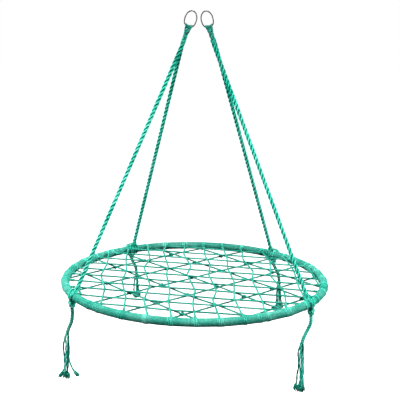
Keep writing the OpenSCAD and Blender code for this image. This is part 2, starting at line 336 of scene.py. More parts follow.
# Where a fibre's four greens stand on its scale of tone, from deep to pale
TONE_STOPS = (0.12, 0.34, 0.60, 0.88)
# Scales of a fibre's filaments, speckles and patches, in cells to the metre
FILAMENTS, SPECKLES, PATCHES = 900.0, 260.0, 14.0
# Painted shade: ropes darken upwards from this height, fully at one over the rise, in metres,
# above it; the upper ropes get less light
TOP_SHADE_FROM, TOP_SHADE_RISE = -0.42, 3.6


def fibre(name, greens, yarns=5, pitch=9 * MM, depth=0.35 * MM, crests=1, groove_shade=0.5,
          top_shade=0.0):
    """Laid fibre: dark grooves of painted shade, yarns that spiral round the cord with painted
    highlights on their crests, filaments and slow fading.
    """
    m, nodes, links, bsdf = new_material(name)

    def do(kind, a, b=None):
        return maths(nodes, links, kind, a, b)

    def wave(value):
        """Up from 0 to 1 and down again as the value grows by 1."""
        return do("MULTIPLY", do("PINGPONG", value, 0.5), 2.0)

    uv = nodes.new("ShaderNodeUVMap")
    uv.uv_map = "UVMap"
    split = nodes.new("ShaderNodeSeparateXYZ")
    links.new(uv.outputs[0], split.inputs[0])
    where = object_coords(nodes)
    phase = do("ADD", do("MULTIPLY", split.outputs["X"], float(yarns)),
               do("MULTIPLY", split.outputs["Y"], -1 / pitch))
    # The yarns' ridge is their bump height; added to the tone below, it also paints highlights on
    # their crests and shade between them
    ridge = do("POWER", wave(phase), 0.5)
    threads = wave(do("MULTIPLY", phase, 6.0))
    # Painted shade: darker where each strand or lobe turns into the grooves between them
    groove_shade_tone = wave(do("MULTIPLY", split.outputs["X"], float(crests)))
    groove_shade_tone = do("MULTIPLY", do("POWER", groove_shade_tone, 1.6), groove_shade)
    fine = noise(nodes, links, where, FILAMENTS, 2.0)
    speckle = noise(nodes, links, where, SPECKLES, 4.0)
    patches = noise(nodes, links, where, PATCHES, 3.0)
    # Tone: painted highlight and shade from the ridge, random speckle and patches, less the
    # painted groove shade
    tone = do("ADD", do("MULTIPLY", ridge, 0.30), do("ADD", do("MULTIPLY", speckle, 0.46),
                                                      do("MULTIPLY", patches, 0.34)))
    tone = do("SUBTRACT", do("ADD", tone, do("MULTIPLY", threads, 0.08)), groove_shade_tone)
    if top_shade:
        # Painted shade: darker towards the top, where less light reaches the ropes
        place = nodes.new("ShaderNodeSeparateXYZ")
        links.new(where, place.inputs[0])
        high = do("MULTIPLY", do("ADD", place.outputs["Z"], -TOP_SHADE_FROM), TOP_SHADE_RISE)
        high = do("MAXIMUM", do("MINIMUM", high, 1.0), 0.0)
        tone = do("SUBTRACT", tone, do("MULTIPLY", high, top_shade))
    links.new(ramp(nodes, links, tone, list(zip(TONE_STOPS, greens))), bsdf.inputs["Base Color"])
    height = do("ADD", ridge, do("MULTIPLY", threads, 0.22))
    height = do("ADD", height, do("MULTIPLY", fine, 0.30))
    raise_bumps(nodes, links, bsdf, height, 0.8, depth)
    links.new(do("ADD", 0.32, do("MULTIPLY", speckle, 0.26)), bsdf.inputs["Roughness"])
    bsdf.inputs["Specular IOR Level"].default_value = 0.28
    bsdf.inputs["Specular Tint"].default_value = (0.25, 1.0, 0.85, 1)
    bsdf.inputs["Sheen Weight"].default_value = 0.07
    bsdf.inputs["Sheen Roughness"].default_value = 0.4
    bsdf.inputs["Sheen Tint"].default_value = (0.55, 1.0, 0.85, 1)
    return m


def steel(name, colour, rough):
    """Steel with worn patches and fine drawn lines."""
    m, nodes, links, bsdf = new_material(name)
    where = object_coords(nodes)
    wear = noise(nodes, links, where, 120.0, 5.0)
    lines = noise(nodes, links, where, 60.0, 6.0, (1, 14, 1))
    dim = tuple(c * 0.6 for c in colour)
    lit = tuple(min(1, c * 1.5) for c in colour)
    links.new(ramp(nodes, links, wear, [(0.35, dim), (0.5, colour), (0.72, lit)]),
              bsdf.inputs["Base Color"])
    gloss = maths(nodes, links, "ADD", rough, maths(nodes, links, "MULTIPLY", lines, 0.22))
    links.new(gloss, bsdf.inputs["Roughness"])
    raise_bumps(nodes, links, bsdf, lines, 0.5, 0.05 * MM)
    bsdf.inputs["Metallic"].default_value = 1.0
    return m


def woven_tape(name, dark, light):
    m, nodes, links, bsdf = new_material(name)
    where = object_coords(nodes)
    weave = nodes.new("ShaderNodeTexChecker")
    weave.inputs["Scale"].default_value = 900
    links.new(where, weave.inputs["Vector"])
    tone = maths(nodes, links, "ADD", maths(nodes, links, "MULTIPLY", weave.outputs["Fac"], 0.3),
                 noise(nodes, links, where, 300.0))
    links.new(ramp(nodes, links, tone, [(0.3, dark), (0.9, light)]), bsdf.inputs["Base Color"])
    raise_bumps(nodes, links, bsdf, tone, 0.5, 0.2 * MM)
    bsdf.inputs["Roughness"].default_value = 0.9
    return m


def tones(lightness):
    """Deep, dark, plain and pale turquoise green of a fibre, lighter or darker as a whole."""
    # The deep end is reached in the painted groove shade and the pale end on painted yarn
    # highlights; the lightness makes lit and shaded copies of one fibre
    plain = [(0.0, 0.020, 0.013), (0.0, 0.150, 0.098), (0.016, 0.500, 0.362), (0.46, 1.0, 0.88)]
    return [tuple(min(1, c * lightness) for c in tone) for tone in plain]


# The rope fibre carries painted shade towards the top of the ropes
rope_mat = fibre("rope_fibre", tones(1.46), yarns=5, pitch=11 * MM, depth=0.5 * MM, groove_shade=0.95,
                 top_shade=0.17)
# Painted shade: lit and shaded copies of one binding fibre, darkest on the back arc, which lies in
# shade
binding_shade_mats = {arc: fibre("binding_fibre_" + arc, tones(lightness), yarns=3, pitch=4.2 * MM,
                           depth=0.12 * MM, groove_shade=0.55)
                for arc, lightness in (("front", 0.80), ("right", 0.70), ("back", 0.60),
                                       ("left", 0.75))}
# Painted light: the ties are the net cord, drawn as a lighter copy of its fibre where their turns
# catch the light
tie_lit_mat = fibre("tie_fibre", tones(1.4), yarns=3, pitch=4 * MM, depth=0.12 * MM, groove_shade=0.45)
net_mat = fibre("net_fibre", tones(1.0), yarns=9, pitch=9 * MM, depth=0.2 * MM, crests=3,
                groove_shade=0.35)
# Painted shade: the braces, lowest in the net, are a darker copy of the net fibre
brace_shaded_mat = fibre("brace_fibre", tones(0.8), yarns=9, pitch=9 * MM, depth=0.2 * MM, crests=3,
                  groove_shade=0.40)
# Painted light: the hoop hitches' cords are a lighter copy of the rope fibre, where the side light
# falls on them
hitch_lit_mat = fibre("hitch_fibre", tones(1.6), yarns=9, pitch=9 * MM, depth=0.3 * MM, crests=3,
                  groove_shade=0.35)
# Painted shade: the throats under the rings are a darker copy of the fibre
throat_shaded_mat = fibre("throat_fibre", tones(0.58), yarns=9, pitch=9 * MM, depth=0.3 * MM, crests=3,
                   groove_shade=0.35)
# Lit and shaded copies of one tail fibre: painted light on the front right tail, painted shade on
# the others
tail_lit_and_shaded_mats = {place: fibre("tail_fibre_" + place, tones(lightness), yarns=5, pitch=9 * MM,
                          depth=0.35 * MM, groove_shade=0.6)
             for place, lightness in (("front_left", 0.66), ("front_right", 1.4),
                                      ("back_left", 0.6), ("back_right", 0.6))}
# Lit and shaded copies of one strand fibre, handed out to the loose strands in turn: painted shade
# and painted light
strand_lit_and_shaded_mats = [fibre("strand_fibre_" + kind, tones(lightness), yarns=7, pitch=26 * MM,
                     depth=0.4 * MM, crests=2, groove_shade=0.3)
               for kind, lightness in (("dark", 0.7), ("light", 1.6), ("plain", 1.1))]
ring_mat = steel("ring_steel", (0.13, 0.13, 0.135), 0.38)
tube_mat = steel("tube_steel", (0.6, 0.6, 0.62), 0.3)
joint_mat = steel("joint_steel", (0.45, 0.45, 0.47), 0.35)
tape_mat = woven_tape("cotton_tape", (0.24, 0.42, 0.34), (0.55, 0.75, 0.66))


def dress(node, material):
    obj = frame["nodes"][node]
    obj.data.materials.clear()
    obj.data.materials.append(material)


dress("hoop_tube", tube_mat)
dress("hoop_sleeve", joint_mat)
dress("hoop_pins", joint_mat)
dress("under_tape", tape_mat)

# ---------------------------------------------------------------- tails, the free cords

TAIL_D, TAIL_LAY = 14 * MM, 26 * MM
STRAND_D, STRAND_LAY = 6.8 * MM, 44 * MM
# Distance between the points of a tail's line
TAIL_STEP = 1.5 * MM
# The top of a tail is this many millimetres up inside its knot
TAIL_IN = 7
# How far a loose strand waves from side to side
STRAND_WAVE = 0.8 * MM
TUFT_HAIRS, TUFT_WIDE, TUFT_LONG, HAIR_R = 60, 8 * MM, 24 * MM, 0.8 * MM
# Routes below the pivots as [across, up] in millimetres, as part.scad has them
ROUTES = {
    "front_left": [(0, 0), (1, -25), (-3, -54), (-14, -81), (-19, -104), (-20, -130), (-21, -165),
                   (-22, -210), (-23, -258)],
    "front_right": [(0, 0), (1, -26), (-6, -48), (-18, -75), (-26, -100), (-28, -120), (-28, -150),
                    (-27, -190), (-27, -240), (-27, -285)],
    "back_left": [(0, 0), (8, -20), (18, -40), (21, -75), (22, -118), (23, -152)],
    "back_right": [(0, 0), (10, -19), (22, -43), (28, -72), (27, -108), (29, -145), (31, -178)],
}
# How much of each tail is still laid, from its top
LAID_LEN = {"front_left": 104 * MM, "front_right": 118 * MM, "back_left": 87 * MM,
            "back_right": 92 * MM}
# The loose strands' ways beside the route: (share of the way down, across, towards the back) in mm
STRANDS = {
    "front_left": [
        [(0, -3, 0), (0.12, -8, 1), (0.35, -13, 3), (0.6, -9, 1), (0.76, -7, 3), (0.86, -11, 0),
         (0.91, -15, -2)],
        [(0, -2, -3), (0.12, -3, -5), (0.3, -2, -5), (0.5, -2, -5), (0.8, -3, -4), (0.90, -4, -5)],
        [(0, 2, 3), (0.12, 3, 5), (0.3, 3, 4), (0.5, 2, 4), (0.8, 2, 3), (0.92, 1, 4)],
        [(0, 3, -2), (0.12, 5, -3), (0.3, 6, -1), (0.5, 6, -2), (0.8, 5, -2), (0.93, 4, -2)],
        [(0, 2, 0), (0.12, 5, 2), (0.3, 7, 3), (0.62, 9, 0), (0.8, 19, -1), (0.9, 30, 1)]],
    "front_right": [
        [(0, -4, 1), (0.13, -8, 2), (0.26, -11, 3), (0.42, -8, 2), (0.6, -11, 2), (0.76, -13, 0),
         (0.86, -15, -2)],
        [(0, -2, -4), (0.13, -3, -6), (0.26, -4, -5), (0.42, -5, -4), (0.6, -2, -4),
         (0.76, -1, -4), (0.88, -6, -5)],
        [(0, 1, 4), (0.13, 2, 6), (0.3, 2, 5), (0.5, 3, 4), (0.76, 3, 5), (0.89, 1, 4)],
        [(0, 4, -2), (0.13, 6, -3), (0.3, 8, -3), (0.5, 8, -2), (0.76, 9, -2), (0.88, 10, -3)],
        [(0, 3, 2), (0.13, 7, 2), (0.3, 6, -5), (0.5, 5, -6), (0.76, 5, -5), (0.9, 4, -5)]],
    "back_left": [
        [(0, -3, 1), (0.3, -9, 2), (0.7, -12, 1), (0.97, -11, -2)],
        [(0, 0, -4), (0.5, 0, -4), (1.0, -3, -3)],
        [(0, 3, 2), (0.5, 3, 3), (1.02, 3, 4)],
        [(0, 4, -1), (0.5, 6, -1), (0.98, 9, 1)]],
    "back_right": [
        [(0, -3, 1), (0.4, -7, 2), (0.98, -10, -2)],
        [(0, -1, -4), (0.5, -2, -4), (1.02, -4, -3)],
        [(0, 3, 2), (0.5, 4, 3), (1.0, 3, 4)],
        [(0, 4, -1), (0.5, 8, -1), (0.96, 10, 1)]],
}


def cut_at(p, distance):
    """The part of a line up to a distance along it, and the part after it."""
    s = along_line(p)
    i = int(np.argmin(np.abs(s - distance)))
    return p[:i + 1], p[i:]


def tuft(b, tip, drop):
    """Fibres that fan out of a strand's end."""
    for _ in range(TUFT_HAIRS):
        a, f = rng.uniform(0, TAU), rng.uniform(0.2, 1)
        out = np.array([math.cos(a), math.sin(a), 0]) * TUFT_WIDE * f
        start = tip - drop * rng.uniform(0, 6) * MM + out * 0.25
        end = tip + drop * TUFT_LONG * rng.uniform(0.45, 1) + out
        mid = (start + end) / 2 + out * 0.35
        b.tube(resampled([start, mid, end], 2.5 * MM), HAIR_R, 5)


for place, route in ROUTES.items():
    node = "tail_" + place
    pivot = np.array(joints[node + "_sway"]["pos_m"])
    line = resampled([pivot + np.array([x, 0, z]) * MM for x, z in [(0, TAIL_IN)] + route],
                     TAIL_STEP)
    laid, rest = cut_at(line, LAID_LEN[place])
    tail = Bundle()
    s = along_line(laid)
    # A little thinner at both ends
    ease = np.clip(0.8 + s / (12 * MM), 0, 1) * np.clip(0.92 + (s[-1] - s) / (20 * MM), 0, 1)
    tail.rope(laid, TAIL_D / 2, lay=TAIL_LAY, sides=12, taper=ease, wander=0.15)
    obj = tail.make("tail_laid_" + place, tail_lit_and_shaded_mats[place], node, "tail_rope", [node])
    fuzz, strands = Bundle(), []
    rest_len = along_line(rest)[-1]
    rest_s = along_line(rest) / rest_len
    for k, way in enumerate(STRANDS[place]):
        loose = []
        for share, across, behind in way:
            at = np.array([np.interp(share, rest_s, rest[:, c]) for c in range(3)])
            beyond = max(0, share - 1) * rest_len
            loose.append(at + np.array([across, behind, 0]) * MM - UP * beyond)
        loose = resampled(loose, TAIL_STEP)
        f = np.linspace(0, 1, len(loose))
        wave = STRAND_WAVE * np.sin(TAU * f * rng.uniform(2.5, 4) + rng.uniform(0, TAU))
        wave = wave * np.minimum(1, 8 * f)
        loose = loose + wave[:, None] * np.array([math.cos(k), math.sin(k), 0])
        bit = Bundle()
        bit.tube(loose, STRAND_D / 2, 12, lobes=2, depth=0.28, lay=STRAND_LAY, phase=k)
        tuft(fuzz, loose[-1], unit(loose[-1] - loose[-8]))
        obj = bit.make(f"tail_strand_{place}_{k + 1}", strand_lit_and_shaded_mats[k % len(strand_lit_and_shaded_mats)], node,
                       "tail_rope")
        strands.append((obj, loose))
    hairs = fuzz.make("tail_fuzz_" + place, strand_lit_and_shaded_mats[2], node, "tail_rope")

# ---------------------------------------------------------------- suspension ropes

ROPE_D, ROPE_LAY = 15.6 * MM, 56 * MM
# A rope starts this far up in its throat and parts from its fellow this far below it
ROPE_SUNK, ROPE_PARTS = 22 * MM, 46 * MM
# It ends this far short of the hoop's tube line, inside its hitch
ROPE_STOP = 24 * MM
# Where they part, the ropes stand at this share of the distance between their straight lines
ROPE_CLOSE = 0.86

for place, angle in HITCHES.items():
    right, back_side = place.endswith("right"), place.startswith("back")
    top, foot = rope_top(right, back_side), hoop_point(angle)
    pull = unit(foot - top)
    start = top - ROPE_SUNK * pull
    together = (top - mirrored(foot_left, right)) * (1 + ROPE_PARTS / THROAT_LEN)
    together = mirrored(foot_left, right) + together * [1, ROPE_CLOSE, 1]
    straight = resampled([start, (start + together) / 2, together, (together + foot) / 2,
                          foot - ROPE_STOP * unit(foot - together)], 2.5 * MM)
    rope = Bundle()
    rope.rope(straight, ROPE_D / 2, lay=ROPE_LAY, sides=14, phase=angle, wander=0.25)
    obj = rope.make("rope_" + place + "_laid", rope_mat, "seat", "rope", ["rope_" + place])

# ---------------------------------------------------------------- hitches on the rings


def loop_radius(u):
    """Radius at which a loop clears the ring's wire as the seat swings, at u across the foot."""
    w = (u - RING_END_R * math.sin(RING_LEAN)) / RING_END_R
    rise = RING_END_R * (math.cos(RING_LEAN) - math.sqrt(1 - w * w))
    return max(RING_WIRE / 2, rise + RING_WIRE / 2 / math.sqrt(1 - w * w)) + TURN_GAP


# Loops over the wire: their count and thickness, and where the first lies across the foot
LOOPS, LOOP_D, LOOP_FROM = 6, 4.2 * MM, -8.6 * MM
# How far below the foot the loops' legs end among the turns
LEG_LEN = 18 * MM
across_pull = unit(np.cross(pull_left, AFT))
# The thick turns round a throat: where they start and end below the foot, and their size
TURNS, TURNS_FROM, TURNS_TO, TURNS_LAY = 4, 6 * MM, 74 * MM, 88 * MM
TURN_R, TURN_THINNER = 4.4 * MM, 1.0 * MM
# The flat core that fills the throat inside the turns: depths in mm, radius, flatness
CORE_DEPTHS, CORE_R, CORE_FLAT = (5, 14, 26, 38, 52), 5.6 * MM, 2.0


def throat_half(d):
    """Half widths of the middle of the thick turns, across and fore and aft, at a depth."""
    across = np.interp(d / MM, [0, 6, 14, 22, 40, 60, 74], [8.6, 8.2, 6.6, 5.2, 4.2, 4.4, 5.0])
    fore = np.interp(d / MM, [0, 6, 22, 44, 66, 74], [8.0, 8.8, 11.4, 14.0, 16.5, 17.5])
    return across * MM, fore * MM


for right in (False, True):
    b = Bundle()
    for i in range(LOOPS):
        u = LOOP_FROM + i * LOOP_D
        r = loop_radius(u) + LOOP_D / 2
        legs = []
        for sense in (-1, 1):
            leg = []
            for d in np.array([4, 8, 13, 18]) * MM:
                f = d / LEG_LEN
                half = throat_half(d)
                near = foot_left + d * pull_left + across_pull * (u - 1.9 * MM) * (1 - 0.45 * f)
                leg.append(near + AFT * sense * (r * (1 - f) + (half[1] + 1 * MM) * f))
            legs.append(leg)
        over = [foot_left + np.array([u, 0, 0]) + r * np.array([0, -math.cos(a), math.sin(a)])
                for a in np.linspace(0, math.pi, 11)]
        line = resampled([mirrored(q, right) for q in legs[0][::-1] + over + legs[1]], 1.3 * MM)
        b.tube(line, LOOP_D / 2 + 0.25 * MM, 12, lobes=3, depth=0.2, lay=14 * MM)
    for k in range(TURNS):
        depth = np.arange(TURNS_FROM, TURNS_TO, 1.2 * MM)
        line, radius = [], []
        for d in depth:
            half = throat_half(d)
            a = 0.9 + TAU * (k / TURNS + (d - TURNS_FROM) / TURNS_LAY)
            q = foot_left + d * pull_left + across_pull * half[0] * math.cos(a)
            line.append(mirrored(q + AFT * half[1] * math.sin(a), right))
            ends = min(1, 0.45 + (d - TURNS_FROM) / (7 * MM), 0.25 + (TURNS_TO - d) / (14 * MM))
            radius.append((TURN_R - TURN_THINNER * (d / TURNS_TO)) * ends)
        b.tube(line, np.array(radius), 16, lobes=3, depth=0.12, lay=26 * MM)
    core = [mirrored(foot_left + d * MM * pull_left, right) for d in CORE_DEPTHS]
    core = resampled(core, 3 * MM)
    b.tube(core, CORE_R, 20, flat=CORE_FLAT,
           normal=np.tile(mirrored(across_pull, right), (len(core), 1)))
    name = "ring_hitch_right" if right else "ring_hitch_left"
    b.make(name + "_loops", throat_shaded_mat, "seat", "hitch_cord", [name])

# ---------------------------------------------------------------- rings

# Half the ring's height is its end radius and this much more; its wire is shown a little thinner
RING_STRETCH = 8 * MM
RING_A, WIRE_R = RING_END_R + RING_STRETCH, 2.25 * MM
# The arc under the loops takes over from the oval within this share of the lower half
FOOT_SHARE = 0.6

for right in (False, True):
    name = "ring_right" if right else "ring_left"
    wire = []
    for t in np.linspace(math.pi, 3 * math.pi, 97):
        height = RING_A * math.cos(t)
        low = -RING_STRETCH + RING_END_R * math.cos(t)
        share = min(1, max(0, -math.cos(t) / FOOT_SHARE))
        height = (1 - share) * height + share * low
        x, z = RING_END_R * math.sin(t), height - (RING_A - RING_WIRE / 2)
        q = np.array([x * math.cos(RING_LEAN) + z * math.sin(RING_LEAN) - HOOK_HALF, 0,
                      z * math.cos(RING_LEAN) - x * math.sin(RING_LEAN)])
        wire.append(mirrored(q, right))
    b = Bundle()
    b.tube(wire, WIRE_R, 16, normal=np.tile(AFT, (len(wire), 1)))
    b.make(name + "_wire", ring_mat, "rings", "ring_steel", [name])

# ---------------------------------------------------------------- binding of the rim

BINDING_D = 4.2 * MM
# The binding stands this far proud of the wrap it replaces
BINDING_PROUD = 0.2 * MM
# Unevenness of the winding: drift along the rim in pitches, and the least and most lift in mm
WIND_DRIFT, WIND_LOW, WIND_HIGH = 0.05, -0.18, 0.22


def rim_turns(start, stop, pitch, radius, steps):
    """A cord wound round the rim's section from one angle of the hoop to another, in degrees."""
    length = math.radians(stop - start) * hoop_r
    turns = max(1, int(round(length / pitch)))
    n = turns * steps + 1
    f = np.linspace(0, 1, n)
    section = TAU * turns * f
    drift = np.cumsum(np.array([rng.uniform(-1, 1) for _ in range(turns + 1)]))
    drift = (drift - np.linspace(0, drift[-1], turns + 1)) * WIND_DRIFT * pitch
    hoop_angle = np.radians(start + (stop - start) * f) + np.interp(
        f * turns, np.arange(turns + 1), drift) / hoop_r
    out = np.stack([np.cos(hoop_angle), np.sin(hoop_angle), 0 * f], -1)
    normal = out * np.cos(section)[:, None] + UP * np.sin(section)[:, None]
    lift = np.array([rng.uniform(WIND_LOW, WIND_HIGH) * MM for _ in range(turns + 2)])
    rr = radius + np.interp(f * turns, np.arange(turns + 2), lift)
    return hoop_centre + hoop_r * out + normal * rr[:, None], normal


ARCS = {"front": (HITCHES["front_left"], HITCHES["front_right"]),
        "right": (HITCHES["front_right"] - 360, HITCHES["back_right"]),
        "back": (HITCHES["back_right"], HITCHES["back_left"]),
        "left": (HITCHES["back_left"], HITCHES["front_left"])}
for name, (start, stop) in ARCS.items():
    b = Bundle()
    line, normal = rim_turns(start, stop, BINDING_D, rim_r - BINDING_D / 2 + BINDING_PROUD, 22)
    b.tube(line, BINDING_D / 2, 8, normal=normal)
    b.make("binding_" + name, binding_shade_mats[name], "seat", "binding", ["wrap_" + name])

# ---------------------------------------------------------------- net

LAYER, NET_D = 6.3 * MM, 7.0 * MM
# Each family's turn in degrees, shift and pitch in mm, middle cord, number of cords and height
FAMILIES = {
    "net_cross": (-6, 22, 79, 6, 11, 0.5 * LAYER),
    "net_long": (98, -19, 79, 6.5, 12, 1.5 * LAYER),
    "brace_a": (-44, 11, 147, 3, 5, -0.5 * LAYER),
    "brace_b": (47, -38, 147, 3.5, 6, -1.5 * LAYER),
}


# How far a net cord's ends go into the rim
NET_INTO_RIM = 3 * MM
# How far its middle bulges towards the nearer side, in full from this far off the hoop's middle
NET_BULGE, FULL_BULGE_AT = 6 * MM, 0.3
# How many millimetres it rises or sinks at most where it is tied
NET_LIFT = 0.6


def family_shifts(family):
    """The number of each cord in a family, and how far from the hoop's middle it runs."""
    _, shift0, pitch, middle, count, _ = FAMILIES[family]
    return [(k, (shift0 + pitch * (k - middle)) * MM) for k in range(1, count + 1)]


def net_line(turn_deg, shift, height, pull, kinks, seed):
    """A net cord from rim to rim, pulled to one side and the other where cords are tied to it."""
    r = random.Random(seed)
    half = math.sqrt(inner_r ** 2 - shift ** 2) + NET_INTO_RIM
    d, n = axes(turn_deg)
    count = max(3, int(round(half * 2 / kinks)) + 1)
    u = np.linspace(-half, half, count)
    u[1:-1] += np.array([r.uniform(-0.2, 0.2) for _ in range(count - 2)]) * kinks
    sense = r.choice((-1, 1))
    side = [sense * (-1) ** i * r.uniform(0.1, 1) * pull for i in range(count - 2)]
    lift = [r.uniform(-NET_LIFT, NET_LIFT) * MM for _ in range(count - 2)]
    fine = np.linspace(-half, half, int(2 * half / (2.2 * MM)) + 1)
    blur = np.array([1, 2, 3, 2, 1]) / 9
    moved = [np.convolve(np.pad(np.interp(fine, u, [0, *v, 0]), 2, mode="edge"), blur, "valid")
             for v in (side, lift)]
    bulge = NET_BULGE * math.copysign(1, shift) * (1 - (fine / half) ** 2)
    bulge = bulge * min(1, abs(shift) / FULL_BULGE_AT)
    return (hoop_centre + d * fine[:, None] + n * (shift + moved[0] + bulge)[:, None]
            + UP * (height + moved[1])[:, None])


# How far a cord of each kind is pulled aside, and how far apart the pulls are
PULLS = {"net_cross": (4 * MM, 0.13), "net_long": (14 * MM, 0.165), "brace_a": (5 * MM, 0.15),
         "brace_b": (5 * MM, 0.15)}

for family, (turn_deg, *_, height) in FAMILIES.items():
    brace = family.startswith("brace")
    for k, shift in family_shifts(family):
        line = net_line(turn_deg, shift, height, *PULLS[family], f"{family}{k}")
        b = Bundle()
        b.tube(line, NET_D / 2, 12, lobes=3, depth=0.3, lay=20 * MM, phase=k)
        b.make(f"{family}_{k:02d}_cord", brace_shaded_mat if brace else net_mat, "seat",
               "brace_cord" if brace else "net_cord", [f"{family}_{k:02d}"])


def crossing(t1, s1, t2, s2):
    """Where two straight cords cross, each given by its turn and its shift."""
    a, b = math.radians(t1), math.radians(t2)
    return np.array([s2 * math.cos(a) - s1 * math.cos(b),
                     s2 * math.sin(a) - s1 * math.sin(b)]) / math.sin(a - b)


def trefoil(count, height):
    """The closed line of an overhand knot, about 2 across and of the given height to each side."""
    a = np.linspace(0, TAU, count)
    x, y = np.sin(a) + 2 * np.sin(2 * a), np.cos(a) - 2 * np.cos(2 * a)
    return np.stack([x / 3, y / 3, -np.sin(3 * a) * height], -1)


def small_knot(b, centre, size, cord_d, spin):
    """An overhand knot pulled tight, lying flat."""
    p = trefoil(40, 0.45) * (size - cord_d) / 2
    c, s = math.cos(spin), math.sin(spin)
    p = p @ np.array([[c, s, 0], [-s, c, 0], [0, 0, 1]])
    b.tube(centre + p, cord_d / 2, 8)


BRACE_KNOT, BRACE_KNOT_D = 21 * MM, 6.4 * MM

knots = Bundle()
turn_a, turn_b = FAMILIES["brace_a"][0], FAMILIES["brace_b"][0]
knot_z = (FAMILIES["brace_a"][-1] + FAMILIES["brace_b"][-1]) / 2
for _, shift_a in family_shifts("brace_a"):
    for _, shift_b in family_shifts("brace_b"):
        p = crossing(turn_a, shift_a, turn_b, shift_b)
        if np.linalg.norm(p) < inner_r - 2 * rim_r:
            small_knot(knots, hoop_centre + np.array([p[0], p[1], knot_z]), BRACE_KNOT,
                       BRACE_KNOT_D, rng.uniform(0, TAU))
knots.make("brace_knot_turns", brace_shaded_mat, "seat", "brace_cord", ["brace_knots"])

# ---------------------------------------------------------------- ties of the net to the rim

TIE_D, COIL_D = 2.8 * MM, 2.6 * MM
# Turns in a tie's band round the rim and how far apart they lie in cord widths, and the length in
# mm of its coil along the net cord: one of each is drawn for every tie
TIE_TURNS, TIE_APART, COIL_LEN = (2, 2, 3, 4), (1.3, 2.1, 3.0), (14, 20, 28)
# How far the bands sink between the binding's turns, and the coils into the net cord
TIE_SUNK, COIL_SUNK = 1.1 * MM, 0.1 * MM
# A net cord that ends within this many degrees of a hitch has no band; other bands stop short
NO_BAND, BAND_STOP = 3.6, 2.9


def cord_end(turn_deg, shift, sense):
    """The angle round the hoop at which a net cord meets the rim."""
    bend = math.degrees(math.asin(shift / inner_r))
    return turn_deg + (bend if sense > 0 else 180 - bend)


def coil(b, start, way, length, radius, cord_d):
    """Turns of cord wound close together round a net cord."""
    turns = max(3, int(length / cord_d))
    a = np.linspace(0, TAU * turns, turns * 14 + 1)
    n1 = unit(np.cross(way, UP))
    n2 = np.cross(way, n1)
    out = np.cos(a)[:, None] * n1 + np.sin(a)[:, None] * n2
    line = start + way * (a / TAU * cord_d)[:, None] + out * radius
    b.tube(line, cord_d / 2, 7, normal=out)


ties, coils = Bundle(), Bundle()
for family in ("net_cross", "net_long"):
    turn_deg, *_, height = FAMILIES[family]
    d, n = axes(turn_deg)
    for _, shift in family_shifts(family):
        for sense in (-1, 1):
            half = math.sqrt(inner_r ** 2 - shift ** 2) - 1 * MM
            coil(coils, hoop_centre + d * sense * half + n * shift + UP * height, -sense * d,
                 rng.choice(COIL_LEN) * MM, NET_D / 2 - COIL_SUNK, COIL_D)
            angle = cord_end(turn_deg, shift, sense)
            clear = min(abs((angle - h + 540) % 360 - 180) for h in HITCHES.values())
            if clear < NO_BAND:
                continue
            apart = TIE_D * rng.choice(TIE_APART)
            wide = math.degrees(apart * rng.choice(TIE_TURNS) / 2 / hoop_r)
            wide = min(wide, clear - BAND_STOP)
            line, normal = rim_turns(angle - wide, angle + wide, apart,
                                     rim_r + TIE_D / 2 - TIE_SUNK, 26)
            ties.tube(line, TIE_D / 2, 8, normal=normal)
ties.make("net_tie_turns", tie_lit_mat, "seat", "tie_cord", ["net_ties"])
coils.make("net_tie_coils", net_mat, "seat", "tie_cord", ["net_ties"])

# ---------------------------------------------------------------- hitches on the hoop


def section_line(angle, points, radius):
    """A line over the rim through points of (degrees round the section, mm along the rim)."""
    out, tangent = axes(angle)
    result = []
    for phi, y in points:
        f = math.radians(phi)
        result.append(hoop_point(angle) + tangent * y * MM
                      + radius * (math.cos(f) * out + math.sin(f) * UP))
    return result


# Radius in mm of the neck between a knot and its tail
NECK_R = 8.6


def knot_ball(b, centre, size, cord_d, out, seed):
    """The fat knot under the rim: a pulled tight trefoil of thick cord with a turn below it."""
    r = random.Random(seed)
    p = trefoil(90, 0.62) * (size - cord_d) / 2
    spin = Matrix.Rotation(r.uniform(0, TAU), 3, "Z")
    tip = Matrix.Rotation(math.radians(r.uniform(50, 70)), 3, Vector((-out[1], out[0], 0)))
    m = np.array(tip @ spin)
    b.tube(centre + p @ m.T, cord_d / 2, 14, lobes=3, depth=0.25, lay=22 * MM)
    b.tube(resampled([centre + UP * 6 * MM, centre, centre - UP * 11 * MM], 2 * MM),
           NECK_R * MM, 14)
    turn = [centre + np.array([NECK_R * math.cos(t), NECK_R * math.sin(t),
                               -11.5 + 1.5 * math.sin(2 * t)]) * MM
            for t in np.linspace(0, TAU, 30)]
    b.tube(turn, 3.4 * MM, 12, lobes=3, depth=0.25, lay=16 * MM)


# Ways of a hitch's cords over the rim: (degrees round the section, mm along the rim), then how
# many millimetres they lie above the binding. Front cords slant across the rim to the knot; back
# cords fan out to both sides.
def front_ways(lean):
    ways = []
    for share in (-1, -0.33, 0.33, 1):
        ways.append(([(112, lean * (7 + 8.5 * share)), (70, lean * (6 + 8.5 * share)),
                      (30, lean * (3 + 7.5 * share)), (-8, lean * (-1 + 5.5 * share)),
                      (-42, lean * (-4 + 4 * share)), (-72, lean * (-4 + 3 * share))], 2.9))
    for share in (-0.6, 0.6):
        ways.append(([(125, lean * (1 + 8 * share)), (170, lean * (1 + 9 * share)),
                      (215, lean * (2 + 8 * share)), (255, lean * 4 * share),
                      (278, lean * 3 * share)], 2.9))
    ways.append(([(100, -lean * 9), (55, -lean * 13), (10, -lean * 12), (-30, -lean * 6),
                  (-62, lean * 3), (-84, lean * 5)], 3.4))
    ways.append(([(60, lean * 17), (20, lean * 15), (-25, lean * 12), (-60, lean * 7),
                  (-84, lean * 4)], 3.2))
    ways.append(([(85, -lean * 12), (50, -lean * 4), (15, lean * 5), (-25, lean * 10),
                  (-60, lean * 8), (-84, lean * 3)], 7.2))
    return ways


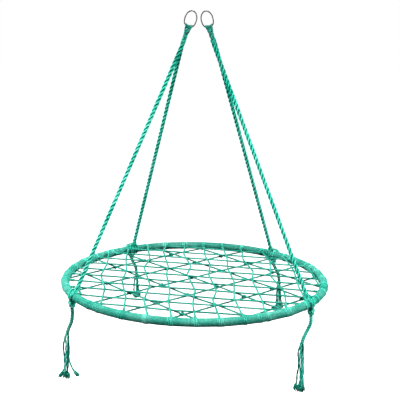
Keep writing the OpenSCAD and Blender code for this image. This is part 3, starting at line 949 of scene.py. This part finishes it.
def back_ways(lean):
    ways = []
    for share in (-1, -0.6, -0.2, 0.2, 0.6, 1):
        ways.append(([(105, 17 * share), (70, 23 * share), (30, 22 * share - lean * 2),
                      (-8, 18 * share - lean * 3), (-45, 10 * share - lean * 3),
                      (-75, 4 * share - lean * 2)], 2.9))
    for share in (-0.9, -0.3, 0.3, 0.9):
        ways.append(([(118, 16 * share), (150, 20 * share), (190, 18 * share),
                      (230, 10 * share), (265, 4 * share)], 2.9))
    ways.append(([(60, -lean * 20), (20, -lean * 8), (-20, lean * 6), (-60, lean * 8)], 7.2))
    return ways


HITCH_CORD_D, HITCH_BAND_R = 5.8 * MM, 2.6 * MM
# How far up its rope a hitch's cords start
HITCH_UP = 44 * MM
# A knot's place outside and below the rim's middle line, its size and its cord
KNOT_OUT, KNOT_DOWN, KNOT_SIZE, KNOT_D = 8 * MM, 25 * MM, 31 * MM, 12.5 * MM

for place, angle in HITCHES.items():
    right, back_side = place.endswith("right"), place.startswith("back")
    lean = 1 if right == back_side else -1
    b = Bundle()
    up_rope = unit(rope_top(right, back_side) - hoop_point(angle))
    out, tangent = axes(angle)
    ways = back_ways(lean) if back_side else front_ways(lean)
    for k, (points, lift) in enumerate(ways):
        over = section_line(angle, points, rim_r + lift * MM)
        turn = TAU * k / len(ways)
        round_rope = math.cos(turn) * tangent + math.sin(turn) * np.cross(up_rope, tangent)
        round_rope = round_rope * 6 * MM
        line = [hoop_point(angle) + up_rope * HITCH_UP * (0.75 + 0.25 * (k % 3) / 2) + round_rope,
                hoop_point(angle) + up_rope * 31 * MM + round_rope * 1.15] + over
        line = resampled(line, 1.8 * MM)
        s = along_line(line)
        thick = HITCH_CORD_D / 2 * np.clip(0.5 + s / (12 * MM), 0, 1)
        b.tube(line, thick, 12, lobes=3, depth=0.24, lay=17 * MM, phase=k)
    for y in ((-11, -2, 7) if back_side else (-3, 5)):
        line = section_line(angle, [(phi, y - lean * 7 * math.sin(math.radians(phi)))
                                    for phi in range(0, 361, 20)], rim_r + 2.0 * MM)
        b.tube(resampled(line, 2 * MM), HITCH_BAND_R, 12, lobes=3, depth=0.2, lay=16 * MM)
    centre = hoop_point(angle) + out * KNOT_OUT - UP * KNOT_DOWN
    knot_ball(b, centre, KNOT_SIZE, KNOT_D, out, place)
    name = "hoop_hitch_" + place
    b.make(name + "_cords", hitch_lit_mat, "seat", "hitch_cord", [name])

# ---------------------------------------------------------------- floor and light

FLOOR_Z, FLOOR_R, DOME_R = -1.9, 24, 25


def stage_material(name, colour, glow):
    m, nodes, links, bsdf = new_material(name)
    bsdf.inputs["Base Color"].default_value = (*colour, 1)
    bsdf.inputs["Roughness"].default_value = 0.9
    bsdf.inputs["Emission Color"].default_value = (1, 1, 1, 1)
    bsdf.inputs["Emission Strength"].default_value = glow
    return m


def stage_piece(name, mesh_call, material):
    """A floor or backdrop that is seen but neither lights the object nor shades it."""
    mesh_call()
    obj = bpy.context.object
    obj.name = name
    obj.data.materials.append(material)
    obj.visible_diffuse = obj.visible_glossy = False
    return obj


stage_piece("floor", lambda: bpy.ops.mesh.primitive_circle_add(
    vertices=96, radius=FLOOR_R, fill_type="NGON", location=(0, 0, FLOOR_Z)),
    stage_material("pale_floor", (0.85, 0.85, 0.85), 1.0))
dome = stage_piece("backdrop", lambda: bpy.ops.mesh.primitive_uv_sphere_add(
    segments=64, ring_count=32, radius=DOME_R), stage_material("pale_backdrop", (0, 0, 0), 1.0))
dome.visible_shadow = False


def area_light(name, place, target, size, power):
    data = bpy.data.lights.new(name, "AREA")
    data.shape, data.size, data.energy = "DISK", size, power
    obj = bpy.data.objects.new(name, data)
    bpy.context.scene.collection.objects.link(obj)
    obj.location = place
    obj.rotation_mode = "QUATERNION"
    obj.rotation_quaternion = (Vector(target) - Vector(place)).to_track_quat("-Z", "Y")


aim = Vector((0, 0, -0.75))
area_light("left", (-4.2, -1.6, 1.5), aim, 1.5, 285)
area_light("right", (4.2, -1.3, 1.5), aim, 1.5, 235)
area_light("front", (-0.4, -3.4, 2.2), aim, 1.4, 40)
area_light("top", (0.0, -0.3, 3.4), aim, 1.1, 105)

world = bpy.data.worlds.new("studio")
bpy.context.scene.world = world
world.use_nodes = True
sky = world.node_tree.nodes["Background"]
sky.inputs["Color"].default_value = (1, 1, 1, 1)
sky.inputs["Strength"].default_value = 0.05
bpy.context.scene.view_settings.view_transform = "Standard"
